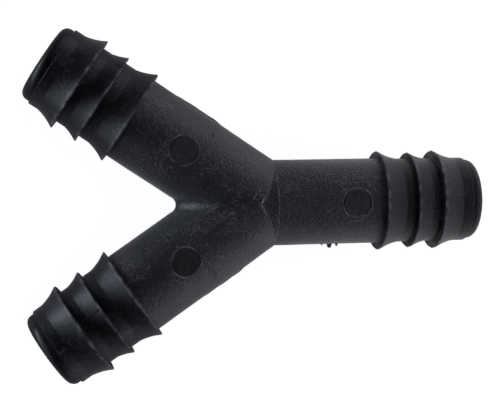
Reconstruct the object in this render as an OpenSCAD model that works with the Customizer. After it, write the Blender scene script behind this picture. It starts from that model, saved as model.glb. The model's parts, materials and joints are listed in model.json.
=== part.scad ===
// Barbed Y connector that splits one 19 mm hose into two.
// One hollow plastic moulding: an inlet limb and two outlet limbs that meet in a hub.
// The part lies flat: the three bore axes are in one level plane, +X runs along the
// inlet limb towards its tip, and +Z points away from the surface that it lies on.

/* [Limbs] */
// Outer diameter of the inlet limb between the hub and its first barb
inlet_d = 17.8; // [17.7:0.1:18.2]
// Outer diameter of each outlet limb, slightly more than the inlet's
outlet_d = 18.1; // [17.8:0.1:18.6]
// Diameter of the water way in every limb
bore_d = 13.0; // [10:0.5:14]
// Angle between each outlet axis and the line of the inlet
outlet_angle = 34.1; // [30:0.1:45]
// Distance from the meeting point of the axes to the first barb of the inlet
inlet_reach = 25.0; // [24:0.1:40]
// Distance from the meeting point of the axes to the first barb of an outlet
outlet_reach = 32.0; // [31:0.1:45]

/* [Barbs] */
// Crest diameter of the inner and outer barbs
crest_d = 20.7; // [20:0.1:22]
// Crest diameter of the middle barb, which is a little lower
middle_crest_d = 20.0; // [19.6:0.1:20.8]
// Diameter at the foot of the barbs
root_d = 17.6; // [17:0.1:17.7]
// Width of the narrow land on each crest
crest_land = 0.3; // [0.2:0.05:0.5]
// Distance from the inner barb's face to the middle barb's face
inner_pitch = 6.7; // [6:0.1:8]
// Distance from the middle barb's face to the outer barb's face
middle_pitch = 5.4; // [5:0.1:7]
// Distance from the outer barb's face to the nose
outer_pitch = 6.6; // [6:0.1:8]
// Length of the inner and outer barbs' flare
flare_length = 4.4; // [4:0.1:5.2]
// Length of the middle barb's flare
middle_flare_length = 3.5; // [3:0.1:4.2]

/* [Nose] */
// Diameter of the nose, a small step below the foot of the outer barb
nose_d = 16.8; // [16.6:0.1:17.4]
// Length of the nose from its step line to the tip
nose_length = 2.4; // [2.2:0.1:4]
// Radius of the rounded outer edge of the tip
nose_round = 1.7; // [1:0.1:1.8]

/* [Hub] */
// Length of the inlet side of the hub, up to the witness line round the limb
hub_inlet_length = 2.5; // [2.3:0.1:5]
// Length of the outlet side of the hub along each outlet axis
hub_outlet_length = 16.6; // [16:0.1:18]
// Radius of the fillet between the two outlets
crotch_round = 1.8; // [1.5:0.1:2.5]

/* [Mould marks] */
// Diameter of the flat mark that each ejector pin leaves
ejector_d = 6.0; // [4:0.5:7]
// Depth of the mark below the crown of the limb
ejector_depth = 0.15; // [0.05:0.05:0.3]
// Distance of the inlet's ejector mark from the meeting point of the axes
inlet_ejector_s = 18.9; // [12:0.1:20]
// Distance of an outlet's ejector mark from the meeting point of the axes
outlet_ejector_s = 19.9; // [19.8:0.1:26]
// Thickness of the flash along the parting line
flash_t = 0.16; // [0.1:0.02:0.3]
// Height of the flash above the limb
flash_h = 0.3; // [0.1:0.05:0.4]
// Length of each stretch of flash
flash_length = 12.0; // [4:0.5:12]
// Distance of the right outlet's flash from the meeting point of the axes
right_flash_s = 15.0; // [10:0.5:20]
// Distance of the left outlet's flash from the meeting point of the axes
left_flash_s = 9.5; // [9:0.5:20]
// Distance of the gate's widest nib from the meeting point of the axes
gate_s = 14.8; // [8:0.1:20]
// Thickness of the gate's nibs
gate_t = 0.8; // [0.4:0.1:1.2]

/* [Hidden] */
$fn = 96;

black_plastic = [0.09, 0.09, 0.10];
worn_plastic = [0.16, 0.16, 0.17];

// Directions of the limbs, turned about +Z from the inlet's own direction
inlet_turn = 0;
right_turn = 180 - outlet_angle;
left_turn = 180 + outlet_angle;

bore_r = bore_d / 2;
root_r = root_d / 2;
nose_r = nose_d / 2;
barb_run = inner_pitch + middle_pitch + outer_pitch;
inlet_end = inlet_reach + barb_run + nose_length;
outlet_end = outlet_reach + barb_run + nose_length;

// The rounded tips of the outlets are the lowest point in X. The lip of the round
// is a circle, so its reach along X is its centre's reach plus its radius.
outlet_tip_x = (outlet_end - nose_round) * cos(outlet_angle)
    + (nose_r - nose_round) * sin(outlet_angle) + nose_round;
hub_x = (outlet_tip_x - inlet_end) / 2;
axis_z = crest_d / 2;

// Angle at which a barb's flare meets its foot, in degrees
flare_dip = 10;
// Width of the web's groove over the width of the ball in the fork
web_spread = 1.3;
// What is left of the gate: each nib's place from the widest one, its width and height
gate_nibs = [[-1.6, 0.5, 0.3], [0, 1.1, 0.85], [1.55, 0.6, 0.6]];
// Through-cuts run this far past the surfaces they cut
past = 1;

// Turns a shape built about +Z, from the meeting point of the axes, to lie along a limb
module along_limb(turn) {
    translate([hub_x, 0, axis_z]) rotate([0, 0, turn]) rotate([0, 90, 0]) children();
}

// A ring of the water way's diameter, from one station on the limb's axis to another
module tube(from, to, outer_d) {
    translate([0, 0, from]) difference() {
        cylinder(h = to - from, d = outer_d);
        translate([0, 0, -past]) cylinder(h = to - from + 2 * past, r = bore_r);
    }
}

// A barb: a flat face towards the hub, a narrow land, and a flare that curves down to
// the foot diameter. The flare is one arc through the land's edge and the foot.
module barb(from, length, crest, flare) {
    drop = crest / 2 - root_r;
    run = flare - crest_land;
    flare_r = (run * run + drop * drop) / (2 * (drop * cos(flare_dip) - run * sin(flare_dip)));
    centre = [root_r + flare_r * cos(flare_dip), from + flare + flare_r * sin(flare_dip)];
    rotate_extrude() difference() {
        translate([bore_r, from]) square([crest / 2 - bore_r, length]);
        translate([root_r, from + flare]) square([drop + past, length - flare + past]);
        intersection() {
            translate(centre) circle(r = flare_r);
            translate([root_r, from + crest_land]) square([drop + past, run]);
        }
    }
}

// The tip of a limb: a step below the outer barb's foot, then a rounded lip
module nose(from) {
    flat_length = nose_length - nose_round;
    lip_r = nose_r - nose_round;
    rotate_extrude() translate([0, from]) {
        translate([bore_r, 0]) square([nose_r - bore_r, flat_length]);
        translate([bore_r, 0]) square([lip_r - bore_r, nose_length]);
        intersection() {
            translate([lip_r, flat_length]) circle(r = nose_round);
            translate([lip_r, flat_length]) square(nose_round + past);
        }
    }
}

// The plain tube between the hub and the first barb, with the round flat mark of an
// ejector pin: below the crown along the limb, and proud of it on either side
module neck(from, to, outer_d, mark_s) {
    flat_z = outer_d / 2 - ejector_depth;
    difference() {
        union() {
            tube(from, to, outer_d);
            translate([-flat_z, 0, mark_s]) rotate([0, 90, 0]) cylinder(h = 1, d = ejector_d);
        }
        translate([-flat_z - past, 0, mark_s]) rotate([0, 90, 0]) cylinder(h = past, d = ejector_d);
    }
}

// The rounded web in the fork: a spool lying across it, with the ball that would roll
// between the two outlets as its groove. The groove is cut a little wider than that
// ball, so that the web dips into the outlets instead of grazing them.
module crotch_web() {
    path_h = outlet_d / 2 + crotch_round;
    path_x = path_h / sin(outlet_angle);
    waist_r = path_h * path_h / path_x - crotch_round;
    groove_r = web_spread * crotch_round;
    half_w = crotch_round * cos(outlet_angle);
    spool_x = path_x - crotch_round - waist_r;
    translate([hub_x - spool_x, 0, axis_z]) rotate([90, 0, 0]) rotate_extrude() difference() {
        translate([0, -half_w]) square([waist_r + groove_r, 2 * half_w]);
        translate([waist_r + groove_r, 0]) circle(r = groove_r);
    }
}

// The middle of the Y. The start of each outlet reaches past the witness line, so the
// hub is trimmed there to meet the inlet's neck face to face.
module y_hub() {
    color(black_plastic) difference() {
        union() {
            along_limb(inlet_turn) cylinder(h = hub_inlet_length, d = inlet_d);
            along_limb(right_turn) cylinder(h = hub_outlet_length, d = outlet_d);
            along_limb(left_turn) cylinder(h = hub_outlet_length, d = outlet_d);
            crotch_web();
        }
        along_limb(inlet_turn) cylinder(h = hub_inlet_length + past, r = bore_r);
        along_limb(right_turn) cylinder(h = hub_outlet_length + past, r = bore_r);
        along_limb(left_turn) cylinder(h = hub_outlet_length + past, r = bore_r);
        along_limb(inlet_turn) translate([0, 0, hub_inlet_length])
            cylinder(h = hub_inlet_length + outlet_d, d = 2 * outlet_d);
    }
}

module inlet_neck() {
    color(black_plastic) along_limb(inlet_turn)
        neck(hub_inlet_length, inlet_reach, inlet_d, inlet_ejector_s);
}

module outlet_neck(turn) {
    color(black_plastic) along_limb(turn)
        neck(hub_outlet_length, outlet_reach, outlet_d, outlet_ejector_s);
}

module inner_barb(turn, reach) {
    color(black_plastic) along_limb(turn) barb(reach, inner_pitch, crest_d, flare_length);
}

module middle_barb(turn, reach) {
    color(black_plastic) along_limb(turn)
        barb(reach + inner_pitch, middle_pitch, middle_crest_d, middle_flare_length);
}

module outer_barb(turn, reach) {
    color(black_plastic) along_limb(turn)
        barb(reach + inner_pitch + middle_pitch, outer_pitch, crest_d, flare_length);
}

module limb_nose(turn, reach) {
    color(black_plastic) along_limb(turn) nose(reach + barb_run);
}

// A thin fin on one side of a limb in the parting plane. side is 1 for the limb's
// own left, seen from the hub, and -1 for its right.
module edge_fin(turn, side, from, length, outer_d, height, thickness) {
    along_limb(turn) difference() {
        translate([-thickness / 2, side > 0 ? 0 : -outer_d / 2 - height, from])
            cube([thickness, outer_d / 2 + height, length]);
        translate([0, 0, from - past]) cylinder(h = length + 2 * past, d = outer_d);
    }
}

// Flash on the outer edge of each outlet, left where the two mould halves met
module parting_flash() {
    color(worn_plastic) {
        edge_fin(right_turn, -1, right_flash_s, flash_length, outlet_d, flash_h, flash_t);
        edge_fin(left_turn, 1, left_flash_s, flash_length, outlet_d, flash_h, flash_t);
    }
}

// What is left of the gate on the inlet limb
module gate_vestige() {
    color(worn_plastic) for (nib = gate_nibs)
        edge_fin(inlet_turn, -1, gate_s + nib[0] - nib[1] / 2, nib[1], inlet_d, nib[2], gate_t);
}

y_hub();
inlet_neck();
inner_barb(inlet_turn, inlet_reach);  // inlet_inner_barb
middle_barb(inlet_turn, inlet_reach);  // inlet_middle_barb
outer_barb(inlet_turn, inlet_reach);  // inlet_outer_barb
limb_nose(inlet_turn, inlet_reach);  // inlet_nose
outlet_neck(right_turn);  // right_outlet_neck
inner_barb(right_turn, outlet_reach);  // right_outlet_inner_barb
middle_barb(right_turn, outlet_reach);  // right_outlet_middle_barb
outer_barb(right_turn, outlet_reach);  // right_outlet_outer_barb
limb_nose(right_turn, outlet_reach);  // right_outlet_nose
outlet_neck(left_turn);  // left_outlet_neck
inner_barb(left_turn, outlet_reach);  // left_outlet_inner_barb
middle_barb(left_turn, outlet_reach);  // left_outlet_middle_barb
outer_barb(left_turn, outlet_reach);  // left_outlet_outer_barb
limb_nose(left_turn, outlet_reach);  // left_outlet_nose
parting_flash();
gate_vestige();
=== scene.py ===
"""A barbed Y hose connector, moulded in black plastic, built round its CAD frame.

The file is a Blender add-on that is run as a script. It lists its steps in a sidebar
panel, and main() carries them out in order. Lengths are in metres; names that end in
_mm are in millimetres.
"""
import json
import math
import random

import bmesh
import bpy
from mathutils import Matrix, Vector, noise


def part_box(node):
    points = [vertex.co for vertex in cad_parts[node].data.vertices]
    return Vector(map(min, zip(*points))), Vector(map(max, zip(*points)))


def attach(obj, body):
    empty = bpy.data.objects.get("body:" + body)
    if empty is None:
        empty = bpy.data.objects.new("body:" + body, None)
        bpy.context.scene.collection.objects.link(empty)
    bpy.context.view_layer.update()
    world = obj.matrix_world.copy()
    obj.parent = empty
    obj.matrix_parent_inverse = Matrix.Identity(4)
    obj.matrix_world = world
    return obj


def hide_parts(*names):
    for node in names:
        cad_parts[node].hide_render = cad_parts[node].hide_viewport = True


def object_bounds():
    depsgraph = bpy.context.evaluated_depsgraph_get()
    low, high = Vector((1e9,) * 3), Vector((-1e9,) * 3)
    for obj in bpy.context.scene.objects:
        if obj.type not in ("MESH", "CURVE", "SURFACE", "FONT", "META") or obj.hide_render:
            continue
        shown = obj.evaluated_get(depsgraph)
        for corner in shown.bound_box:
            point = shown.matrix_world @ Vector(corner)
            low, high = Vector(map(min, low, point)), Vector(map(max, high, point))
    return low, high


bl_info = {
    "name": "Barbed Y hose connector",
    "version": (1, 0, 0),
    "blender": (4, 5, 0),
    "location": "3D View > Sidebar > Hose connector",
    "description": "Builds the moulded skin, finishes and stage of a barbed Y connector",
    "category": "Add Mesh",
}

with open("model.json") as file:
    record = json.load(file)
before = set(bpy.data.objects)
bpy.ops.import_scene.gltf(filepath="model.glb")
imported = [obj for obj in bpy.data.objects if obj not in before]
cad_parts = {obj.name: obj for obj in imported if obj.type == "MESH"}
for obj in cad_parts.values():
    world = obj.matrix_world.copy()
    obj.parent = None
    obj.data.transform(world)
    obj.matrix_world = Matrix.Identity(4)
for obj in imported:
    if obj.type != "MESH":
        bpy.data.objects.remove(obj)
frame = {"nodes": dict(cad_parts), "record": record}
CAD_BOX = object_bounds()

MM = 0.001
UP = Vector((0.0, 0.0, 1.0))
BODY = "root"
TAU = 2 * math.pi
BARBS = ("inner_barb", "middle_barb", "outer_barb")


# ---------------------------------------------------------------- measures of the frame


def half_height(node):
    """Outer radius of a CAD node whose axis is level, from the height of its box."""
    low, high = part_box(node)
    return (high.z - low.z) / 2


HUB_MESH_REACH = 4.2 * MM  # the hub's inlet side is made this long, then cut at its end


class Limb:
    """One arm of the Y: its axis from the hub's centre, and the stations along it."""

    def __init__(self, name, centre, mounts):
        spigot, bore = mounts[name + "_spigot"], mounts[name + "_bore"]
        neck_node = name + "_neck"
        self.name = name
        self.centre = centre
        self.axis = Vector(spigot["axis"]).normalized()
        self.side = UP.cross(self.axis)
        spigot_middle = (Vector(spigot["pos_m"]) - centre).dot(self.axis)
        self.reach = spigot_middle - spigot["dims"]["length_mm"] * MM / 2
        self.tip = bore["dims"]["length_mm"] * MM
        self.radius = half_height(neck_node)
        self.bore = bore["dims"]["r_mm"] * MM
        self.hub_end = self.near_end(*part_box(neck_node))
        self.hub_start = max(self.hub_end, HUB_MESH_REACH)

    def near_end(self, low, high):
        """Distance along the axis to the near end of a tube that has this box."""
        sign = math.copysign(1.0, self.axis.x)
        edge = low.x if sign > 0 else high.x
        return (edge - self.centre.x + sign * self.radius * abs(self.axis.y)) / self.axis.x

    def radial(self, angle):
        """Unit vector out from the axis; angle 0 is to the limb's left, a quarter turn is up."""
        return self.side * math.cos(angle) + UP * math.sin(angle)

    def point(self, station, radius, angle):
        """A point at a distance along the axis, and round it."""
        return self.centre + self.axis * station + self.radial(angle) * radius

    def half_angle(self, other):
        """Half the angle between this limb's axis and another's."""
        return self.axis.angle(other.axis) / 2


def read_limbs():
    """The three limbs in order round the hub, each one's left neighbour next after it."""
    mounts = {m["name"]: m for m in frame["record"]["mounts"]}
    start = Vector(mounts["right_outlet_bore"]["pos_m"])
    direction = Vector(mounts["right_outlet_bore"]["axis"])
    centre = start - direction * (start.y / direction.y)
    names = ("inlet", "right_outlet", "left_outlet")
    return [Limb(name, centre, mounts) for name in names]


LIMBS = read_limbs()
INLET = LIMBS[0]
CENTRE = INLET.centre
MEAN_RADIUS = sum(limb.radius for limb in LIMBS) / len(LIMBS)


def neighbour(limb, angle):
    """The limb on the side that an angle round a limb faces."""
    step = 1 if math.cos(angle) >= 0 else -1
    return LIMBS[(LIMBS.index(limb) + step) % len(LIMBS)]


def inlet_offsets():
    """How far each barb and the nose start past the inner barb's face, on every limb."""
    starts = [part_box("inlet_" + part)[0].x for part in (*BARBS, "nose")]
    return [x - CENTRE.x - INLET.reach for x in starts]


OFFSETS = inlet_offsets()
CREST_RADII = [half_height("inlet_" + barb) for barb in BARBS]
NOSE_RADIUS = half_height("inlet_nose")


# ---------------------------------------------------------------- settings


def number_setting(name, description, default, **limits):
    """A number setting."""
    return bpy.props.FloatProperty(name=name, description=description, default=default, **limits)


def mm_setting(name, description, default):
    """A length setting whose default is given in millimetres."""
    return number_setting(name, description, default * MM, unit="LENGTH")


def deg_setting(name, description, default):
    """An angle setting whose default is given in degrees."""
    return number_setting(name, description, math.radians(default), subtype="ANGLE")


def share_setting(name, description, default):
    """A setting between 0 and 1."""
    return number_setting(name, description, default, min=0.0, max=1.0, subtype="FACTOR")


def colour_setting(name, description, default):
    """A colour setting."""
    return bpy.props.FloatVectorProperty(
        name=name, description=description, default=default, size=3, min=0.0, max=1.0, subtype="COLOR"
    )


class ConnectorShape(bpy.types.PropertyGroup):
    """Sizes of the moulding that the frame doesn't hold."""

    foot_diameter: mm_setting("Foot diameter", "Diameter at the foot of the barbs", 17.6)
    crest_land: mm_setting("Crest land", "Width of the narrow flat on top of each barb", 0.3)
    flare: mm_setting("Flare", "Length of the inner and outer barbs' flare", 4.4)
    middle_flare: mm_setting("Middle flare", "Length of the middle barb's flare", 3.5)
    flare_dip: deg_setting("Flare dip", "Angle at which a flare meets the foot", 10.0)
    undercut: mm_setting("Undercut", "How far the face of each barb is hollowed under its crest", 0.7)
    nose_round: mm_setting("Nose round", "Radius of the rounded outer edge of each tip", 1.7)
    edge_round: mm_setting("Edge round", "Size of the small break on sharp moulded edges", 0.08)
    crotch_ball: mm_setting("Fork fillet", "Radius of the fillet between the outlets", 1.8)
    shoulder_ball: mm_setting("Shoulder fillet", "Radius of the fillet beside the inlet", 2.4)
    mark_diameter: mm_setting("Ejector mark diameter", "Diameter of the flat that a pin left", 6.0)
    mark_depth: mm_setting("Ejector mark depth", "Depth of the mark below the crown of the limb", 0.15)
    mark_groove: mm_setting("Ejector mark groove", "Width of the groove round the mark", 0.26)
    seam_height: mm_setting("Seam height", "Height of the faint ridge along the parting line", 0.04)
    flash_thickness: mm_setting("Flash thickness", "Thickness of the flash at its foot", 0.14)
    gate_thickness: mm_setting("Gate thickness", "Thickness of the gate's torn nibs", 0.6)
    nick_depth: mm_setting("Nick depth", "Depth of the deepest nicks in the barb crests", 0.26)
    waviness: mm_setting("Waviness", "Height of the slow waves that shrinkage leaves in the walls", 0.035)


class ConnectorFinish(bpy.types.PropertyGroup):
    """Colours and gloss of the plastic."""

    plastic: colour_setting("Plastic", "Colour of the black plastic", (0.0105, 0.0100, 0.0125))
    # The scuff colour also paints the pale highlight lines along edges.
    scuff: colour_setting("Scuffs", "Colour of light scuffs and worn edges", (0.330, 0.318, 0.338))
    grain_roughness: share_setting("Grained roughness", "Roughness of the grained hub and necks", 0.43)
    satin_roughness: share_setting("Satin roughness", "Roughness of the barbs", 0.38)


class ConnectorStage(bpy.types.PropertyGroup):
    """The camera and the light."""

    camera_distance: mm_setting("Camera distance", "From the camera to the point it looks at", 240.6)
    camera_side_tilt: deg_setting("Side tilt", "Lean of the camera towards the outlets", 9.19)
    camera_back_tilt: deg_setting("Back tilt", "Lean of the camera towards the left outlet", 2.18)
    camera_roll: deg_setting("Roll", "Turn of the picture about the line of sight", 0.84)
    camera_lens_mm: number_setting("Lens", "Focal length in millimetres on a 36 mm sensor", 83.2)
    floor_light: share_setting("Floor light", "How much the floor lights the part on the right", 0.45)
    floor_glow: share_setting("Floor glow", "How much the camera sees the floor glow", 0.9)


# ---------------------------------------------------------------- mesh tools

COLUMNS = 192  # even steps round a limb
SEAM_HALF_WIDTH = 0.12 * MM


def column_angles():
    """Angles round a limb: even steps, and a close pair on each side of the parting line."""
    half = SEAM_HALF_WIDTH / INLET.radius
    angles = [TAU * step / COLUMNS for step in range(COLUMNS)]
    angles += [(line + offset) % TAU for line in (0.0, math.pi) for offset in (-half, half)]
    return sorted(angles)


ANGLES = column_angles()


def on_seam(angle):
    """Whether a column lies on the parting line, at the side of a limb."""
    return abs(math.sin(angle)) < 1e-6


def swell(shape, point):
    """Slow unevenness of a moulded wall at a point, the same for every piece that meets there."""
    wave_length = 5.5 * MM
    return shape.waviness * noise.noise((point - CENTRE) / wave_length)


def ring_of(bm, points):
    """One vertex for each point."""
    return [bm.verts.new(point) for point in points]


def add_skin(bm, rings):
    """Faces between each closed ring and the next; all have as many vertices."""
    for ring, following in zip(rings, rings[1:]):
        for k in range(len(ring)):
            after = (k + 1) % len(ring)
            bm.faces.new((ring[k], ring[after], following[after], following[k]))


def new_shell(*values):
    """An empty bmesh, and a vertex layer for each surface value that is named."""
    bm = bmesh.new()
    return bm, *(bm.verts.layers.float.new(value) for value in values)


def set_value(verts, layer, value):
    """Writes a surface value, such as how exposed an edge is, on vertices."""
    for vert in verts:
        vert[layer] = value


def finish_piece(bm, name, nodes, material, sharp_deg=32.0):
    """Turns a bmesh into a piece that stands for CAD nodes and rides on the body."""
    bmesh.ops.remove_doubles(bm, verts=bm.verts, dist=0.5e-6)
    bmesh.ops.recalc_face_normals(bm, faces=bm.faces)
    mesh = bpy.data.meshes.new(name)
    bm.to_mesh(mesh)
    bm.free()
    mesh.polygons.foreach_set("use_smooth", [True] * len(mesh.polygons))
    mesh.set_sharp_from_angle(angle=math.radians(sharp_deg))
    mesh.materials.append(material)
    piece = bpy.data.objects.new(name, mesh)
    bpy.context.scene.collection.objects.link(piece)
    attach(piece, BODY)
    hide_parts(*nodes)


def closed_slab(bm, top, bottom):
    """A closed shell between two grids of points of the same size, rows by columns."""
    upper = [ring_of(bm, row) for row in top]
    lower = [ring_of(bm, row) for row in bottom]
    for grid in (upper, lower):
        for row, following in zip(grid, grid[1:]):
            for k in range(len(row) - 1):
                bm.faces.new((row[k], row[k + 1], following[k + 1], following[k]))
    add_skin(bm, [border_of(upper), border_of(lower)])


def border_of(grid):
    """The vertices round a grid's edge, as a closed ring."""
    right = [row[-1] for row in grid[1:-1]]
    left = [row[0] for row in grid[-2:0:-1]]
    return grid[0] + right + grid[-1][::-1] + left


# ---------------------------------------------------------------- shader node groups

FLOAT, VECTOR, COLOUR = "NodeSocketFloat", "NodeSocketVector", "NodeSocketColor"


def add_node(tree, kind, inputs=None, **settings):
    """Adds a node, sets its properties, and sets or links its inputs."""
    node = tree.nodes.new(kind)
    for key, value in settings.items():
        setattr(node, key, value)
    for key, value in (inputs or {}).items():
        if isinstance(value, bpy.types.NodeSocket):
            tree.links.new(value, node.inputs[key])
        else:
            node.inputs[key].default_value = value
    return node


def new_group(name, inputs, outputs):
    """An empty shader node group with named sockets, and its input and output nodes."""
    tree = bpy.data.node_groups.new(name, "ShaderNodeTree")
    for label, kind, value in inputs:
        socket = tree.interface.new_socket(label, in_out="INPUT", socket_type=kind)
        if value is not None:
            socket.default_value = value
    for label, kind in outputs:
        tree.interface.new_socket(label, in_out="OUTPUT", socket_type=kind)
    return tree, tree.nodes.new("NodeGroupInput"), tree.nodes.new("NodeGroupOutput")


def math_node(tree, operation, first, second=0.0, third=0.0, clamp=False):
    """A math node's result."""
    inputs = {0: first, 1: second, 2: third}
    return add_node(tree, "ShaderNodeMath", inputs, operation=operation, use_clamp=clamp).outputs[0]


def map_range(tree, value, low, high, to_low=0.0, to_high=1.0):
    """A value stretched smoothly from one range to another, and held at its ends."""
    inputs = {"Value": value, "From Min": low, "From Max": high, "To Min": to_low, "To Max": to_high}
    node = add_node(tree, "ShaderNodeMapRange", inputs, interpolation_type="SMOOTHSTEP")
    return node.outputs["Result"]


def mix_colour(tree, factor, first, second):
    """A mix of two colours."""
    node = add_node(tree, "ShaderNodeMix", {0: factor, 6: first, 7: second}, data_type="RGBA")
    return node.outputs[2]


def product(tree, first, *others):
    """Several values multiplied together."""
    for other in others:
        first = math_node(tree, "MULTIPLY", first, other)
    return first


def cloud_noise(tree, vector, scale, detail, roughness=0.5):
    """Cloudy noise from about 0 to 1; scale is in features to the metre."""
    inputs = {"Vector": vector, "Scale": scale, "Detail": detail, "Roughness": roughness}
    return add_node(tree, "ShaderNodeTexNoise", inputs).outputs["Fac"]


def per_metre(tree, size_mm):
    """Texture scale for features of a size in millimetres."""
    return math_node(tree, "DIVIDE", 1000.0, size_mm)


def moulded_grain():
    """Eroded grain of a worn mould: fine height, and the pale flecks on its high spots."""
    tree, given, out = new_group(
        "Moulded grain",
        [("Vector", VECTOR, None), ("Size mm", FLOAT, 0.4), ("Flecks", FLOAT, 0.5)],
        [("Height", FLOAT), ("Fleck", FLOAT)],
    )
    vector, size = given.outputs["Vector"], given.outputs["Size mm"]

    def clouds(share, detail, roughness):
        return cloud_noise(tree, vector, per_metre(tree, product(tree, size, share)), detail, roughness)

    pit_scale = per_metre(tree, product(tree, size, 1.9))
    pits = add_node(tree, "ShaderNodeTexVoronoi", {"Vector": vector, "Scale": pit_scale})
    pit_depth = map_range(tree, pits.outputs["Distance"], 0.05, 0.5)
    height = math_node(tree, "MULTIPLY_ADD", pit_depth, 0.3, clouds(1.0, 3.0, 0.62))
    speckle = map_range(tree, clouds(0.85, 4.0, 0.75), 0.57, 0.69)
    where = map_range(tree, clouds(11.0, 3.0, 0.6), 0.34, 0.66, 0.35, 1.0)
    tree.links.new(height, out.inputs["Height"])
    tree.links.new(product(tree, speckle, where, given.outputs["Flecks"]), out.inputs["Fleck"])
    return tree


def light_scuffs():
    """Short fine scratches in several directions, from rubbing against other fittings."""
    tree, given, out = new_group(
        "Light scuffs",
        [("Vector", VECTOR, None), ("Amount", FLOAT, 0.5)],
        [("Mask", FLOAT)],
    )
    total = None
    for turn_deg, stretch, size_mm in ((34, 11, 0.40), (-34, 14, 0.45), (4, 10, 0.35), (75, 6, 0.40)):
        turned = add_node(tree, "ShaderNodeVectorRotate",
                          {"Vector": given.outputs["Vector"], "Angle": math.radians(turn_deg)},
                          rotation_type="Z_AXIS")
        drawn = add_node(tree, "ShaderNodeVectorMath",
                         {0: turned.outputs[0], 1: (1.0 / stretch, 1.0, 1.0)}, operation="MULTIPLY")
        lines = cloud_noise(tree, drawn.outputs[0], 1 / (size_mm * MM), 2.0)
        strokes = map_range(tree, lines, 0.58, 0.80)
        total = strokes if total is None else math_node(tree, "MAXIMUM", total, strokes)
    gaps = cloud_noise(tree, given.outputs["Vector"], 1 / (6.0 * MM), 2.0)
    where = map_range(tree, gaps, 0.38, 0.62, 0.1, 1.0)
    tree.links.new(product(tree, total, where, given.outputs["Amount"]), out.inputs["Mask"])
    return tree


def uneven_tone():
    """Slow cloudy change over the plastic, from 0 to 1."""
    tree, given, out = new_group(
        "Uneven tone",
        [("Vector", VECTOR, None), ("Size mm", FLOAT, 6.0)],
        [("Tone", FLOAT)],
    )
    scale = per_metre(tree, given.outputs["Size mm"])
    clouds = cloud_noise(tree, given.outputs["Vector"], scale, 3.0, 0.55)
    tree.links.new(map_range(tree, clouds, 0.3, 0.7), out.inputs["Tone"])
    return tree


def edge_wear_and_highlight():
    """Broken pale line on exposed edges: partly rubbed wear, and partly a painted highlight along crests,
    rims and beads.
    """
    tree, given, out = new_group(
        "Edge wear",
        [("Vector", VECTOR, None), ("Edge", FLOAT, 0.0), ("Amount", FLOAT, 0.5)],
        [("Mask", FLOAT)],
    )
    chips = cloud_noise(tree, given.outputs["Vector"], 1 / (1.8 * MM), 4.0)
    broken = map_range(tree, chips, 0.38, 0.66, 0.15, 1.0)
    edge = map_range(tree, given.outputs["Edge"], 0.35, 1.0)
    tree.links.new(product(tree, broken, edge, given.outputs["Amount"]), out.inputs["Mask"])
    return tree


def soft_panel():
    """Light from a round patch of the room with a soft edge."""
    tree, given, out = new_group(
        "Soft panel",
        [("Direction", VECTOR, None), ("Towards", VECTOR, None),
         ("Full within", FLOAT, 0.9), ("None beyond", FLOAT, 0.7),
         ("Light", COLOUR, (1.0, 1.0, 1.0, 1.0))],
        [("Light", COLOUR)],
    )
    near = add_node(tree, "ShaderNodeVectorMath",
                    {0: given.outputs["Direction"], 1: given.outputs["Towards"]}, operation="DOT_PRODUCT")
    cosine = near.outputs["Value"]
    share = map_range(tree, cosine, given.outputs["None beyond"], given.outputs["Full within"])
    lit = mix_colour(tree, share, (0.0, 0.0, 0.0, 1.0), given.outputs["Light"])
    tree.links.new(lit, out.inputs["Light"])
    return tree


GROUP_MAKERS = {
    "Moulded grain": moulded_grain,
    "Light scuffs": light_scuffs,
    "Uneven tone": uneven_tone,
    "Edge wear": edge_wear_and_highlight,
    "Soft panel": soft_panel,
}


def use_group(tree, name, inputs):
    """Places a shared node group in a material, making the group the first time."""
    group = bpy.data.node_groups.get(name) or GROUP_MAKERS[name]()
    return add_node(tree, "ShaderNodeGroup", inputs, node_tree=group)


def rgba(colour, gain=1.0):
    """A colour with full alpha, brightened or darkened."""
    return (colour[0] * gain, colour[1] * gain, colour[2] * gain, 1.0)


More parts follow.
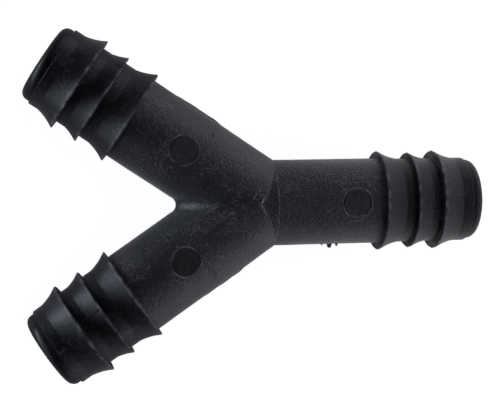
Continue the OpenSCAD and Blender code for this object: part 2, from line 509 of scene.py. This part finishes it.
def plastic(name, roughness, grain_mm, grain_depth_mm, flecks, scuffs, wear, sheen, specular):
    """A black plastic finish. Its values say how coarse the grain is, how worn it looks and how strong the
    painted highlight on its edges is.
    """
    made = bpy.data.materials.get(name)
    if made:
        return made
    finish = bpy.context.scene.connector_finish
    material = bpy.data.materials.new(name)
    material.use_nodes = True
    tree = material.node_tree
    tree.nodes.clear()
    out = tree.nodes.new("ShaderNodeOutputMaterial")
    shader = tree.nodes.new("ShaderNodeBsdfPrincipled")
    tree.links.new(shader.outputs[0], out.inputs["Surface"])
    shader.inputs["Sheen Weight"].default_value = sheen
    shader.inputs["Sheen Roughness"].default_value = 0.35
    shader.inputs["Specular IOR Level"].default_value = specular
    place = tree.nodes.new("ShaderNodeTexCoord").outputs["Object"]
    edge = add_node(tree, "ShaderNodeAttribute", attribute_name="edge").outputs["Fac"]
    mark = add_node(tree, "ShaderNodeAttribute", attribute_name="mark").outputs["Fac"]
    grain = use_group(tree, "Moulded grain", {"Vector": place, "Size mm": grain_mm, "Flecks": flecks})
    rubbed = use_group(tree, "Light scuffs", {"Vector": place, "Amount": scuffs})
    clouds = use_group(tree, "Uneven tone", {"Vector": place, "Size mm": 7.0})
    # Pale line along the edge mask: edge wear, and a painted highlight on crests, rims and beads.
    worn = use_group(tree, "Edge wear", {"Vector": place, "Edge": edge, "Amount": wear})

    base = mix_colour(tree, clouds.outputs["Tone"], rgba(finish.plastic, 0.3), rgba(finish.plastic, 0.95))
    pale = math_node(tree, "MAXIMUM", grain.outputs["Fleck"], rubbed.outputs["Mask"])
    unmarked = math_node(tree, "MULTIPLY_ADD", mark, -0.65, 1.0)
    pale = product(tree, pale, unmarked)
    pale = math_node(tree, "MAXIMUM", pale, worn.outputs["Mask"], clamp=True)
    colour = mix_colour(tree, pale, base, rgba(finish.scuff))
    tree.links.new(colour, shader.inputs["Base Color"])

    rough = map_range(tree, clouds.outputs["Tone"], 0.0, 1.0, roughness - 0.04, roughness + 0.04)
    rough = math_node(tree, "MULTIPLY_ADD", pale, 0.2, rough)
    tree.links.new(rough, shader.inputs["Roughness"])

    relief = product(tree, grain.outputs["Height"], unmarked)
    bump = add_node(tree, "ShaderNodeBump",
                    {"Strength": 1.0, "Distance": grain_depth_mm * MM, "Height": relief})
    tree.links.new(bump.outputs["Normal"], shader.inputs["Normal"])
    return material


def grained_plastic():
    """Hub and necks: dull, with a fine eroded grain and pale flecks."""
    rough = bpy.context.scene.connector_finish.grain_roughness
    return plastic("Grained black plastic", rough, grain_mm=0.42, grain_depth_mm=0.12,
                   flecks=1.0, scuffs=0.5, wear=0.9, sheen=0.75, specular=0.9)


def satin_plastic():
    """Barbs: smoother, with soft reflections, and worn crests that carry a painted highlight."""
    rough = bpy.context.scene.connector_finish.satin_roughness
    return plastic("Satin black plastic", rough, grain_mm=0.40, grain_depth_mm=0.05,
                   flecks=0.5, scuffs=0.22, wear=0.5, sheen=0.25, specular=0.44)


def nose_plastic():
    """Tips: even and dark."""
    rough = bpy.context.scene.connector_finish.satin_roughness
    return plastic("Smooth black plastic", rough - 0.06, grain_mm=0.35, grain_depth_mm=0.03,
                   flecks=0.4, scuffs=0.15, wear=0.8, sheen=0.0, specular=0.33)


def flash_plastic():
    """Torn thin edges, paler where the plastic was stretched."""
    rough = bpy.context.scene.connector_finish.grain_roughness
    return plastic("Torn black plastic", rough, grain_mm=0.25, grain_depth_mm=0.05,
                   flecks=0.5, scuffs=0.2, wear=0.6, sheen=0.0, specular=0.5)


# ---------------------------------------------------------------- hub

STRAIGHT_ROWS = 44  # along a limb, up to where a fillet starts
FILLET_ROWS = 8
BORE_ROWS = 16
WITNESS_STEP = 0.10 * MM
WITNESS_WIDTH = 0.14 * MM
WITNESS_STEP_LOW_SIDE = 0.08 * MM


def hub_radius(limb, angle, share):
    """Outer radius of the hub: the limb's own at its end, and one common size at the middle."""
    at_end = limb.radius
    if limb is INLET:
        at_end += WITNESS_STEP + WITNESS_STEP_LOW_SIDE * max(0.0, -math.cos(angle))
    blend = share * share * (3 - 2 * share)
    return at_end + (MEAN_RADIUS - at_end) * blend


def fork_ball(shape, limb, other, angle):
    """Radius of the ball that rolls between two limbs, which shrinks towards the crown."""
    if INLET in (limb, other):
        return shape.shoulder_ball * abs(math.cos(angle)) ** 1.5
    return shape.crotch_ball


def hub_column(shape, limb, angle):
    """Points down one line of the hub's outside, from the limb's end to its neighbour."""
    other = neighbour(limb, angle)
    ball = fork_ball(shape, limb, other, angle)
    own = limb.radial(angle)
    mirrored = other.radial(math.pi - angle)
    towards = (own + mirrored).normalized()
    tangent = (MEAN_RADIUS + ball) * abs(math.cos(angle)) / math.tan(limb.half_angle(other))
    points = []
    for row in range(STRAIGHT_ROWS):
        share = row / STRAIGHT_ROWS
        station = limb.hub_start + (tangent - limb.hub_start) * share
        point = limb.point(station, hub_radius(limb, angle, share), angle)
        points.append((point, own))
    ball_centre = limb.point(tangent, MEAN_RADIUS + ball, angle)
    for row in range(FILLET_ROWS + 1):
        outward = own.lerp(towards, row / FILLET_ROWS).normalized()
        points.append((ball_centre - outward * ball, outward))
    ridge = shape.seam_height if on_seam(angle) else 0.0
    return [point + outward * (swell(shape, point) + ridge) for point, outward in points]


def bore_column(limb, angle):
    """Points down one line of the hub's water way, to where it meets its neighbour."""
    meeting = limb.bore * abs(math.cos(angle)) / math.tan(limb.half_angle(neighbour(limb, angle)))
    start = limb.hub_start
    stations = [start + (meeting - start) * row / BORE_ROWS for row in range(BORE_ROWS + 1)]
    return [limb.point(station, limb.bore, angle) for station in stations]


def crown_height(x, y):
    """Height of the top skin over the limbs' plane at a point near the hub's centre."""
    heights = []
    for limb in LIMBS:
        along, across = x * limb.axis.x + y * limb.axis.y, x * limb.side.x + y * limb.side.y
        if along > -1.5 * MM and abs(across) < limb.radius:
            heights.append(math.sqrt(limb.radius**2 - across**2))
    return max(heights)


BEAD_SIDES = 10
BEAD_STEP = 0.12 * MM


def add_bead(bm, corners_mm, width, sunk=0.1, lumpy=0.0, seed=0.0):
    """A thin raised line of plastic along corners on the crown, given from the hub's centre."""
    corners = [Vector((x, y, 0.0)) * MM for x, y in corners_mm]
    path = []
    for start, end in zip(corners, corners[1:]):
        count = max(2, round((end - start).length / BEAD_STEP))
        path += [start.lerp(end, step / count) for step in range(count)]
    path.append(corners[-1])
    points = [CENTRE + Vector((spot.x, spot.y, crown_height(spot.x, spot.y))) for spot in path]
    last = len(points) - 1
    rings = []
    for place, point in enumerate(points):
        ahead = (points[min(place + 1, last)] - points[max(place - 1, 0)]).normalized()
        across = UP.cross(ahead).normalized()
        top = ahead.cross(across)
        taper = math.sqrt(max(0.0, 1 - abs(2 * place / last - 1) ** 3)) * 0.95 + 0.05
        size = width / 2 * taper * (1 + lumpy * noise.noise(point / (0.5 * MM) + Vector((seed, 0, 0))))
        middle = point + top * (swell(bpy.context.scene.connector_shape, point) - size * sunk)
        turns = [TAU * side / BEAD_SIDES for side in range(BEAD_SIDES)]
        spokes = [across * math.cos(turn) + top * math.sin(turn) for turn in turns]
        rings.append(ring_of(bm, [middle + spoke * size for spoke in spokes]))
    add_skin(bm, rings)
    bm.faces.new(rings[0][::-1])
    bm.faces.new(rings[-1])
    return [vert for ring in rings for vert in ring]


def add_hub_beads(bm, edge):
    """The chevron at the hub's centre, and the drops and threads of plastic round it."""
    apex, upper, lower = (-1.1, 0.05), (0.4, 2.25), (-0.05, -2.25)
    beads = [
        add_bead(bm, [apex, (-0.62, 0.95), upper], 0.34 * MM, lumpy=0.2),
        add_bead(bm, [apex, (-0.66, -0.85), lower], 0.42 * MM, lumpy=0.2),
        add_bead(bm, [(-2.6, 1.0), (-2.4, 1.7), (-1.9, 2.25), (-1.5, 2.0)], 0.36 * MM, 0.3, 1.0, 3.0),
        add_bead(bm, [(-1.6, 1.5), (-1.2, 1.9), (-0.7, 2.1), (-0.4, 1.7), (-0.8, 1.2)],
                 0.34 * MM, 0.3, 1.0, 7.0),
        add_bead(bm, [(-2.0, 0.9), (-1.7, 1.1)], 0.26 * MM, 0.2, 0.8, 11.0),
        add_bead(bm, [(-16.1, 1.7), (-16.5, 2.3), (-16.9, 2.1), (-17.2, 2.7)], 0.32 * MM, 0.3, 0.8, 15.0),
    ]
    # Each bead is painted pale through the edge mask: a painted highlight along the chevron and the
    # threads.
    for verts in beads:
        set_value(verts, edge, 1.0)


SMOOTH_SPOT = (0.9 * MM, 1.7 * MM, 2.0 * MM)  # place, half length and half width


def smooth_spot(point):
    """How far a point of the crown lies in the smooth spot beside the chevron, from 0 to 1."""
    place, half_length, half_width = SMOOTH_SPOT
    if point.z < CENTRE.z:
        return 0.0
    away = math.hypot((point.x - CENTRE.x - place) / half_length, (point.y - CENTRE.y) / half_width)
    return min(1.0, max(0.0, 2.0 - 1.6 * away))


def trim_hub(bm, edge):
    """Cuts the hub's inlet side off at the witness line and closes the cut."""
    cut = bmesh.ops.bisect_plane(
        bm, geom=[*bm.verts, *bm.edges, *bm.faces], dist=0.2e-6,
        plane_co=INLET.centre + INLET.axis * INLET.hub_end, plane_no=INLET.axis, clear_outer=True,
    )["geom_cut"]
    rim = [part for part in cut if isinstance(part, bmesh.types.BMEdge)]
    corners = {vert for part in rim for vert in part.verts}
    mid_wall = (INLET.bore + INLET.radius) / 2
    outside = [vert for vert in corners if (vert.co - INLET.centre).length > mid_wall]
    set_value(outside, edge, 1.0)
    bmesh.ops.triangle_fill(bm, edges=rim, use_beauty=True, normal=INLET.axis)


def make_hub():
    """The hollow middle of the Y, with filleted fork and shoulders."""
    shape = bpy.context.scene.connector_shape
    bm, edge, mark = new_shell("edge", "mark")
    for limb in LIMBS:
        outer = [hub_column(shape, limb, angle) for angle in ANGLES]
        inner = [bore_column(limb, angle) for angle in ANGLES]
        outer_rings = [ring_of(bm, row) for row in zip(*outer)]
        inner_rings = [ring_of(bm, row) for row in zip(*inner)]
        add_skin(bm, outer_rings)
        add_skin(bm, inner_rings)
        if limb is not INLET:
            add_skin(bm, [outer_rings[0], inner_rings[0]])
        for ring in outer_rings:
            for vert in ring:
                vert[mark] = smooth_spot(vert.co)
    bmesh.ops.remove_doubles(bm, verts=bm.verts, dist=0.5e-6)
    trim_hub(bm, edge)
    add_hub_beads(bm, edge)
    finish_piece(bm, "hub", ["y_hub"], grained_plastic(), sharp_deg=40.0)


# ---------------------------------------------------------------- necks

PATCH_CELLS = 26  # columns and rows of the square that holds an ejector mark
FLAT_RINGS = 12
ROW_LENGTH = 0.34 * MM


def neck_stations(limb, mark_at, mark_half):
    """Stations of a neck's rows, with an even square of rows round the ejector mark."""
    patch = [mark_at - mark_half + 2 * mark_half * k / PATCH_CELLS for k in range(PATCH_CELLS + 1)]

    def fill(start, end):
        count = max(1, round((end - start) / ROW_LENGTH))
        return [start + (end - start) * k / count for k in range(count)]

    line = [limb.hub_end, limb.hub_end + WITNESS_WIDTH]
    before = line + fill(limb.hub_end + 1.6 * WITNESS_WIDTH, patch[0])
    after = fill(patch[-1], limb.reach)[1:] + [limb.reach]
    return before + patch + after, len(before)


def mark_station(limb):
    """Where the ejector mark sits along a limb, read from the shape of the CAD neck."""
    node = frame["nodes"][limb.name + "_neck"]
    crown = limb.centre.z + limb.radius
    depth = bpy.context.scene.connector_shape.mark_depth
    flat = [v.co for v in node.data.vertices if abs(v.co.z - crown + depth) < 0.01 * MM]
    stations = [(co - limb.centre).dot(limb.axis) for co in flat]
    return (min(stations) + max(stations)) / 2


def neck_point(shape, limb, station, angle):
    """A point on a neck's outside."""
    point = limb.point(station, limb.radius, angle)
    ridge = shape.seam_height if on_seam(angle) else 0.0
    return point + limb.radial(angle) * (swell(shape, point) + ridge)


def add_ejector_mark(bm, shape, limb, centre_station, border, edge, mark):
    """Fills a neck's open square with a round flat that has a crisp step all round it."""
    radius = shape.mark_diameter / 2
    flat_height = limb.radius - shape.mark_depth
    spokes = []
    for vert in border:
        offset = vert.co - limb.centre
        along, across = offset.dot(limb.axis) - centre_station, offset.dot(limb.side)
        spokes.append((along, across, math.atan2(across, along)))

    def skin_point(along, across):
        height = math.sqrt(limb.radius**2 - across**2)
        point = limb.centre + limb.axis * (centre_station + along) + limb.side * across + UP * height
        return point + UP * swell(shape, point)

    def ring_at(share):
        """A ring between the round mark, at 0, and the square border, at 1."""
        points = []
        for along, across, turn in spokes:
            near_along, near_across = radius * math.cos(turn), radius * math.sin(turn)
            points.append(skin_point(near_along + (along - near_along) * share,
                                     near_across + (across - near_across) * share))
        return ring_of(bm, points)

    def flat_ring(size, sunk=0.0):
        """A ring on the flat, or sunk below it in the groove round it."""
        points = []
        for _, _, turn in spokes:
            along, across = centre_station + size * math.cos(turn), size * math.sin(turn)
            foot = limb.axis * along + limb.side * across
            uneven = 0.03 * MM * noise.noise((limb.centre + foot) / (0.8 * MM))
            points.append(limb.centre + foot + UP * (flat_height + uneven - sunk))
        return ring_of(bm, points)

    groove = shape.mark_groove
    rings = [border, *(ring_at(share) for share in (0.6, 0.25, 0.06, 0.0))]
    # The rim rings are painted pale through the edge mask: a painted highlight round the mark.
    set_value(rings[-1] + rings[-2], edge, 0.9)
    groove_depth = 0.7 * groove
    rings += [flat_ring(size, groove_depth) for size in (radius - 0.03 * MM, radius - 0.6 * groove)]
    flats = [flat_ring(radius - groove)]
    flats += [flat_ring((radius - groove) * (1 - step / FLAT_RINGS)) for step in range(1, FLAT_RINGS)]
    for ring in flats + rings[-2:]:
        set_value(ring, mark, 1.0)
    rings += flats
    add_skin(bm, rings)
    middle = bm.verts.new(sum((vert.co for vert in rings[-1]), Vector()) / len(rings[-1]))
    middle[mark] = 1.0
    last = rings[-1]
    for k, vert in enumerate(last):
        bm.faces.new((vert, last[(k + 1) % len(last)], middle))


def make_neck(limb):
    """The plain tube between the hub and the inner barb, with its ejector mark."""
    shape = bpy.context.scene.connector_shape
    bm, edge, mark = new_shell("edge", "mark")
    mark_at = mark_station(limb)
    top = ANGLES.index(min(ANGLES, key=lambda angle: abs(angle - math.pi / 2)))
    first, last = top - PATCH_CELLS // 2, top + PATCH_CELLS // 2
    mark_half = limb.radius * math.cos(ANGLES[first])
    stations, patch_row = neck_stations(limb, mark_at, mark_half)
    last_row = patch_row + PATCH_CELLS
    rows = []
    for number, station in enumerate(stations):
        inside = patch_row < number < last_row
        row = []
        for column, angle in enumerate(ANGLES):
            hidden = inside and first < column < last
            row.append(None if hidden else bm.verts.new(neck_point(shape, limb, station, angle)))
        rows.append(row)
    for number, (row, following) in enumerate(zip(rows, rows[1:])):
        for k in range(len(ANGLES)):
            after = (k + 1) % len(ANGLES)
            in_square = patch_row <= number < last_row and first <= k < last
            if not in_square:
                bm.faces.new((row[k], row[after], following[after], following[k]))
    if limb is INLET:
        set_value(rows[0] + rows[1], edge, 1.0)
    border = rows[patch_row][first:last + 1]
    border += [rows[number][last] for number in range(patch_row + 1, last_row)]
    border += rows[last_row][first:last + 1][::-1]
    border += [rows[number][first] for number in range(last_row - 1, patch_row, -1)]
    add_ejector_mark(bm, shape, limb, mark_at, border, edge, mark)
    bore_start = ring_of(bm, [limb.point(limb.hub_end, limb.bore, angle) for angle in ANGLES])
    bore_end = ring_of(bm, [limb.point(limb.reach, limb.bore, angle) for angle in ANGLES])
    add_skin(bm, [rows[-1], bore_end, bore_start, rows[0]])
    node = limb.name + "_neck"
    finish_piece(bm, node + "_tube", [node], grained_plastic())


# ---------------------------------------------------------------- barbs and noses

FLARE_POINTS = 16
NOSE_POINTS = 12
NICKS_PER_BARB = 5


def barb_outline(shape, start, length, crest, flare, bore, step_at_end):
    """Stations and radii round a barb's section: out along its face, down its flare, back in."""
    foot, land, edge = shape.foot_diameter / 2, shape.crest_land, shape.edge_round
    drop, run = crest - foot, flare - land
    dip = shape.flare_dip
    arc = (run**2 + drop**2) / (2 * (drop * math.cos(dip) - run * math.sin(dip)))
    arc_station = start + flare + arc * math.sin(dip)
    arc_radius = foot + arc * math.cos(dip)
    under = shape.undercut
    outline = [(start, foot), (start + under, foot + drop * 0.2), (start + under * 0.6, foot + drop * 0.55),
               (start, crest - edge), (start + edge * 0.7, crest), (start + land, crest)]
    for step in range(1, FLARE_POINTS + 1):
        station = start + land + run * (step / FLARE_POINTS) ** 1.25
        outline.append((station, arc_radius - math.sqrt(arc**2 - (arc_station - station) ** 2)))
    end = start + length
    if step_at_end:
        outline += [(end - edge, foot), (end, foot - edge)]
    else:
        outline += [(start + flare + (length - flare) * 0.5, foot), (end, foot)]
    return outline + [(end, bore), (start, bore)]


def nose_outline(shape, start, end, bore):
    """Stations and radii round a tip's section: a short land, a quarter round and the lip."""
    turn, edge = shape.nose_round, shape.edge_round
    outline = [(start, bore), (start, NOSE_RADIUS), (start + (end - turn - start) * 0.5, NOSE_RADIUS)]
    for step in range(NOSE_POINTS + 1):
        angle = math.pi / 2 * step / NOSE_POINTS
        outline.append((end - turn + turn * math.sin(angle), NOSE_RADIUS - turn + turn * math.cos(angle)))
    return outline + [(end, bore + edge), (end - edge, bore)]


class Nicks:
    """Small dents in a barb's crest, at random places that are the same on every run."""

    def __init__(self, seed, depth):
        rng = random.Random(seed)
        self.dents = [
            (rng.uniform(0, TAU), rng.uniform(0.02, 0.07), depth * rng.uniform(0.25, 1.0) ** 2)
            for _ in range(NICKS_PER_BARB)
        ]
        self.phase = rng.uniform(0, 100)

    def depth_at(self, angle):
        """How far the crest is worn down at an angle round the limb."""
        worn = 0.0
        for centre, width, depth in self.dents:
            away = abs((angle - centre + math.pi) % TAU - math.pi)
            worn = max(worn, depth * math.exp(-((away / width) ** 2)))
        ripple = noise.noise(Vector((math.cos(angle) * 4, math.sin(angle) * 4, self.phase)))
        return worn + 0.015 * MM * (1 + ripple)


def turned_piece(limb, node, outline, material, foot, nicks=None):
    """A closed ring of the section that an outline goes round, turned about a limb's axis."""
    shape = bpy.context.scene.connector_shape
    bm, edge = new_shell("edge")
    crest = max(radius for _, radius in outline)
    rings = []
    for station, radius in outline:
        exposed = max(0.0, (radius - foot) / (crest - foot)) if crest > foot else 0.0
        points = []
        for angle in ANGLES:
            size = radius
            point = limb.point(station, radius, angle)
            if radius > limb.bore + 0.5 * MM:
                size += swell(shape, point)
                if on_seam(angle):
                    size += shape.seam_height * (1 + 2 * exposed)
            if nicks:
                size -= nicks.depth_at(angle) * exposed**1.5
            points.append(limb.point(station, size, angle))
        ring = ring_of(bm, points)
        # The edge mask rises towards the crest: a pale line of wear, and a painted highlight along each
        # crest.
        set_value(ring, edge, exposed**4)
        rings.append(ring)
    add_skin(bm, [*rings, rings[0]])
    finish_piece(bm, node + "_ring", [node], material, sharp_deg=8.0)


def make_barb(limb, number):
    """One barb of a limb; 0 is the inner one."""
    shape = bpy.context.scene.connector_shape
    start = limb.reach + OFFSETS[number]
    length = OFFSETS[number + 1] - OFFSETS[number]
    flare = shape.middle_flare if number == 1 else shape.flare
    outline = barb_outline(shape, start, length, CREST_RADII[number], flare, limb.bore, number == 2)
    nicks = Nicks(f"{limb.name} {number}", shape.nick_depth)
    node, foot = f"{limb.name}_{BARBS[number]}", shape.foot_diameter / 2
    turned_piece(limb, node, outline, satin_plastic(), foot, nicks)


def make_nose(limb):
    """The rounded tip of a limb."""
    shape = bpy.context.scene.connector_shape
    outline = nose_outline(shape, limb.reach + OFFSETS[3], limb.tip, limb.bore)
    turned_piece(limb, limb.name + "_nose", outline, nose_plastic(), NOSE_RADIUS)


# ---------------------------------------------------------------- flash and gate

FIN_STEP = 0.12 * MM


def fin_grid(limb, side, start, end, tallest, thickness, seed):
    """The two faces of a ragged fin that stands out of a limb's side, as grids of points."""
    count = round((end - start) / FIN_STEP)
    outward = limb.side * side
    base = limb.radius - 0.25 * MM
    faces = ([], [])
    for step in range(count + 1):
        share = step / count
        station = start + (end - start) * step / count
        ends = min(1.0, 6 * share, 6 * (1 - share))
        ragged = 0.85 + 0.5 * noise.noise(Vector((station / (2.6 * MM), seed, 0.0)))
        ragged += 0.15 * noise.noise(Vector((station / (0.4 * MM), seed, 5.0)))
        height = max(0.02 * MM, tallest * min(1.0, ragged) * ends)
        lean = 0.08 * MM * noise.noise(Vector((station / (2.0 * MM), seed, 9.0)))
        foot = limb.centre + limb.axis * station + outward * base
        lip = limb.centre + limb.axis * station + outward * (limb.radius + height) + UP * lean
        for face, sign in zip(faces, (1, -1)):
            low = foot + UP * (sign * thickness / 2)
            middle = foot.lerp(lip, 0.6) + UP * (sign * thickness * 0.4)
            high = lip + UP * (sign * thickness * 0.15)
            face.append([low, middle, high])
    return faces


def fin_spans(node, limb):
    """Start and end of each CAD fin of a node along a limb, and its height above it."""
    spans = []
    for shell in loose_shells(frame["nodes"][node].data):
        offsets = [corner - limb.centre for corner in shell]
        along = [offset.dot(limb.axis) for offset in offsets]
        across = [offset.dot(limb.side) for offset in offsets]
        far = max(across, key=abs)
        if abs(abs(far) - limb.radius) < 1.0 * MM and min(along) > 0:
            spans.append((min(along), max(along), abs(far) - limb.radius, math.copysign(1, far)))
    return spans


def loose_shells(mesh):
    """The corners of each separate solid in a mesh."""
    bm = bmesh.new()
    bm.from_mesh(mesh)
    bmesh.ops.remove_doubles(bm, verts=bm.verts, dist=0.1e-6)
    seen, shells = set(), []
    for first in bm.verts:
        stack, shell = [first], []
        while stack:
            vert = stack.pop()
            if vert not in seen:
                seen.add(vert)
                shell.append(vert.co.copy())
                stack += [link.other_vert(vert) for link in vert.link_edges]
        if shell:
            shells.append(shell)
    bm.free()
    return shells


def make_fins(node, piece, limbs, thickness):
    """Ragged fins in place of a CAD node's plain ones."""
    bm, edge = new_shell("edge")
    seed = 1.0
    for limb in limbs:
        for start, end, height, side in fin_spans(node, limb):
            upper, lower = fin_grid(limb, side, start, end, height, thickness, seed)
            closed_slab(bm, upper, lower)
            seed += 3.7
    set_value(bm.verts, edge, 0.7)
    finish_piece(bm, piece, [node], flash_plastic())


# ---------------------------------------------------------------- stage


FLOOR_HALF_WIDTH = 1.5
FLOOR_DIM_X, FLOOR_LIT_X = -20 * MM, 60 * MM  # between these the floor's own light comes up
CAMERA_AIM = CENTRE + Vector((-1.96, 0.45, 0.0)) * MM

# The room's soft panels: azimuth, elevation, angles of full light and of the fade round it, colour
ROOM_PANELS = (
    (165, -13, 20, 12, (4.5, 5.0, 5.7)),  # the window
    (181, -8, 34, 22, (0.85, 0.95, 1.1)),  # the wall round the window
    (0, -8, 60, 22, (0.56, 0.54, 0.61)),  # the wall that faces the window
    (45, -10, 15, 35, (0.30, 0.29, 0.33)),
    (-60, -12, 15, 35, (0.24, 0.23, 0.26)),
)


def floor_finish():
    """White floor. It glows, most of all for the camera, and more to the right than to the left."""
    stage = bpy.context.scene.connector_stage
    material = bpy.data.materials.new("White floor")
    material.use_nodes = True
    tree = material.node_tree
    shader = tree.nodes["Principled BSDF"]
    place = tree.nodes.new("ShaderNodeTexCoord").outputs["Object"]
    clouds = use_group(tree, "Uneven tone", {"Vector": place, "Size mm": 60.0})
    colour = mix_colour(tree, clouds.outputs["Tone"], (0.78, 0.77, 0.80, 1.0), (0.80, 0.79, 0.82, 1.0))
    tree.links.new(colour, shader.inputs["Base Color"])
    shader.inputs["Roughness"].default_value = 0.8
    shader.inputs["Emission Color"].default_value = (1.0, 1.0, 1.0, 1.0)
    camera_only = tree.nodes.new("ShaderNodeLightPath").outputs["Is Camera Ray"]
    along = add_node(tree, "ShaderNodeSeparateXYZ", {0: place}).outputs["X"]
    lamp = map_range(tree, along, FLOOR_DIM_X, FLOOR_LIT_X, 0.02, stage.floor_light)
    glow = product(tree, camera_only, stage.floor_glow)
    glow = math_node(tree, "MAXIMUM", glow, lamp)
    tree.links.new(glow, shader.inputs["Emission Strength"])
    return material


def make_floor():
    """A wide white floor under the part."""
    half = FLOOR_HALF_WIDTH
    height = CAD_BOX[0].z - 0.01 * MM
    mesh = bpy.data.meshes.new("floor")
    corners = [(-half, -half, height), (half, -half, height), (half, half, height), (-half, half, height)]
    mesh.from_pydata(corners, [], [(0, 1, 2, 3)])
    mesh.materials.append(floor_finish())
    floor = bpy.data.objects.new("floor", mesh)
    bpy.context.scene.collection.objects.link(floor)


def add_panel(tree, direction, so_far, azimuth_deg, elevation_deg, full_deg, fade_deg, light):
    """Adds a soft panel of the room's light to the ones before it."""
    turn, lift = math.radians(azimuth_deg), math.radians(elevation_deg)
    towards = (math.cos(turn) * math.cos(lift), math.sin(turn) * math.cos(lift), math.sin(lift))
    panel = use_group(tree, "Soft panel", {
        "Direction": direction,
        "Towards": towards,
        "Full within": math.cos(math.radians(full_deg)),
        "None beyond": math.cos(math.radians(full_deg + fade_deg)),
        "Light": (*light, 1.0),
    })
    total = add_node(tree, "ShaderNodeVectorMath", {0: so_far, 1: panel.outputs["Light"]}, operation="ADD")
    return total.outputs[0]


def make_room():
    """A dim room with a bright window on the left and broad pale walls low down all round."""
    world = bpy.data.worlds.new("soft room")
    bpy.context.scene.world = world
    world.use_nodes = True
    tree = world.node_tree
    direction = tree.nodes.new("ShaderNodeTexCoord").outputs["Generated"]
    light = (0.020, 0.019, 0.024)
    for panel in ROOM_PANELS:
        light = add_panel(tree, direction, light, *panel)
    tree.links.new(light, tree.nodes["Background"].inputs["Color"])


def make_camera():
    """A camera above the part, leaning a little towards the outlets."""
    stage = bpy.context.scene.connector_stage
    data = bpy.data.cameras.new("camera")
    data.sensor_width = 36.0
    data.lens = stage.camera_lens_mm
    data.clip_start = 0.01
    camera = bpy.data.objects.new("camera", data)
    lean = (
        Matrix.Rotation(stage.camera_roll, 4, "Z")
        @ Matrix.Rotation(stage.camera_back_tilt, 4, "X")
        @ Matrix.Rotation(stage.camera_side_tilt, 4, "Y")
    ).inverted()
    back = Matrix.Translation((0, 0, stage.camera_distance))
    camera.matrix_world = Matrix.Translation(CAMERA_AIM) @ lean @ back
    bpy.context.scene.collection.objects.link(camera)
    bpy.context.scene.camera = camera


# ---------------------------------------------------------------- operators


class AddHub(bpy.types.Operator):
    """Make the hollow hub where the three limbs meet"""

    bl_idname = "connector.add_hub"
    bl_label = "Hub"

    def execute(self, context):
        make_hub()
        return {"FINISHED"}


class AddNecks(bpy.types.Operator):
    """Make the plain tube of each limb, with its ejector mark"""

    bl_idname = "connector.add_necks"
    bl_label = "Necks"

    def execute(self, context):
        for limb in LIMBS:
            make_neck(limb)
        return {"FINISHED"}


class AddBarbs(bpy.types.Operator):
    """Make the three barbs of each limb"""

    bl_idname = "connector.add_barbs"
    bl_label = "Barbs"

    def execute(self, context):
        for limb in LIMBS:
            for number in range(len(BARBS)):
                make_barb(limb, number)
        return {"FINISHED"}


class AddNoses(bpy.types.Operator):
    """Make the rounded tip of each limb"""

    bl_idname = "connector.add_noses"
    bl_label = "Noses"

    def execute(self, context):
        for limb in LIMBS:
            make_nose(limb)
        return {"FINISHED"}


class AddMouldMarks(bpy.types.Operator):
    """Make the ragged flash on the outlets and what is left of the gate"""

    bl_idname = "connector.add_mould_marks"
    bl_label = "Flash and gate"

    def execute(self, context):
        shape = context.scene.connector_shape
        make_fins("parting_flash", "ragged_flash", LIMBS[1:], shape.flash_thickness)
        make_fins("gate_vestige", "gate_stubs", [INLET], shape.gate_thickness)
        return {"FINISHED"}


class SetStage(bpy.types.Operator):
    """Set the floor, the light and the camera"""

    bl_idname = "connector.set_stage"
    bl_label = "Stage"

    def execute(self, context):
        make_floor()
        make_room()
        make_camera()
        context.scene.view_settings.view_transform = "Standard"
        return {"FINISHED"}


STEPS = (AddHub, AddNecks, AddBarbs, AddNoses, AddMouldMarks, SetStage)
SETTINGS = {
    "connector_shape": ConnectorShape,
    "connector_finish": ConnectorFinish,
    "connector_stage": ConnectorStage,
}


class ConnectorPanel(bpy.types.Panel):
    """Lists the settings and the steps that build the connector"""

    bl_idname = "VIEW3D_PT_hose_connector"
    bl_label = "Barbed Y connector"
    bl_space_type = "VIEW_3D"
    bl_region_type = "UI"
    bl_category = "Hose connector"

    def draw(self, context):
        for name, settings in SETTINGS.items():
            box = self.layout.box()
            for key in settings.__annotations__:
                box.prop(getattr(context.scene, name), key)
        for step in STEPS:
            self.layout.operator(step.bl_idname)


def register():
    """Registers the settings, the operators and the panel."""
    for name, settings in SETTINGS.items():
        bpy.utils.register_class(settings)
        setattr(bpy.types.Scene, name, bpy.props.PointerProperty(type=settings))
    for step in (*STEPS, ConnectorPanel):
        bpy.utils.register_class(step)


def unregister():
    """Removes what register() added."""
    for step in (ConnectorPanel, *reversed(STEPS)):
        bpy.utils.unregister_class(step)
    for name, settings in SETTINGS.items():
        delattr(bpy.types.Scene, name)
        bpy.utils.unregister_class(settings)


def main():
    register()
    bpy.ops.connector.add_hub()
    bpy.ops.connector.add_necks()
    bpy.ops.connector.add_barbs()
    bpy.ops.connector.add_noses()
    bpy.ops.connector.add_mould_marks()
    bpy.ops.connector.set_stage()


if __name__ == "__main__":
    main()
